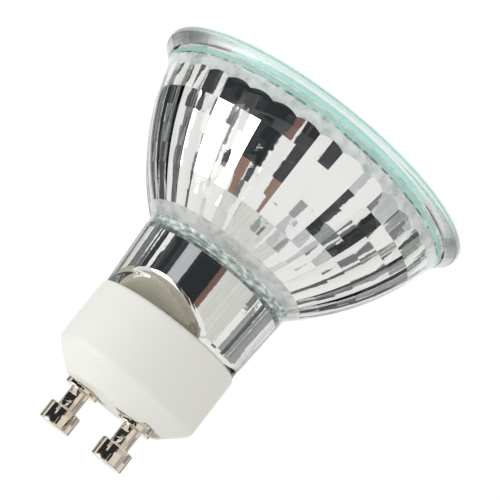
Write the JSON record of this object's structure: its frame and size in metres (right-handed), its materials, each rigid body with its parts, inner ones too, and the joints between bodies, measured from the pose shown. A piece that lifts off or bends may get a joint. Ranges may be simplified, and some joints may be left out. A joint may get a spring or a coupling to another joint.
{
  "type": "reflector spotlight lamp",
  "caption": "Mains halogen spotlight lamp: faceted mirrored glass reflector with a clear front glass, a quartz capsule inside, a white ceramic base and twist-lock contact pins.",
  "frame": {"origin": "centre of the front rest plane, with the lamp standing face down on its rim", "axes": "+Z along the lamp's axis towards the contact pins, X through both pins"},
  "size_m": [0.0508, 0.0506, 0.0526],
  "materials": {
    "reflector_glass": "pressed clear glass, mirrored inside",
    "front_glass": "clear float glass with ground edges",
    "sealant": "clear grey silicone",
    "ceramic": "white pressed steatite, unglazed satin",
    "cement": "cast ceramic cement",
    "quartz": "clear fused quartz",
    "tungsten": "drawn tungsten coil",
    "molybdenum": "drawn wire and rolled foil",
    "nickel": "nickel plate on turned brass"
  },
  "bodies": {
    "root": {"reflector": "reflector_glass", "front_glass": "front_glass", "rim_sealant": "sealant", "ceramic_base": "ceramic", "base_cement": "cement", "capsule_glass": "quartz", "filament": "tungsten", "filament_support": "molybdenum", "inner_lead_left": "molybdenum", "inner_lead_right": "molybdenum", "seal_foil_left": "molybdenum", "seal_foil_right": "molybdenum", "outer_lead_left": "nickel", "outer_lead_right": "nickel", "contact_pin_left": "nickel", "contact_pin_right": "nickel"}
  },
  "joints": []
}
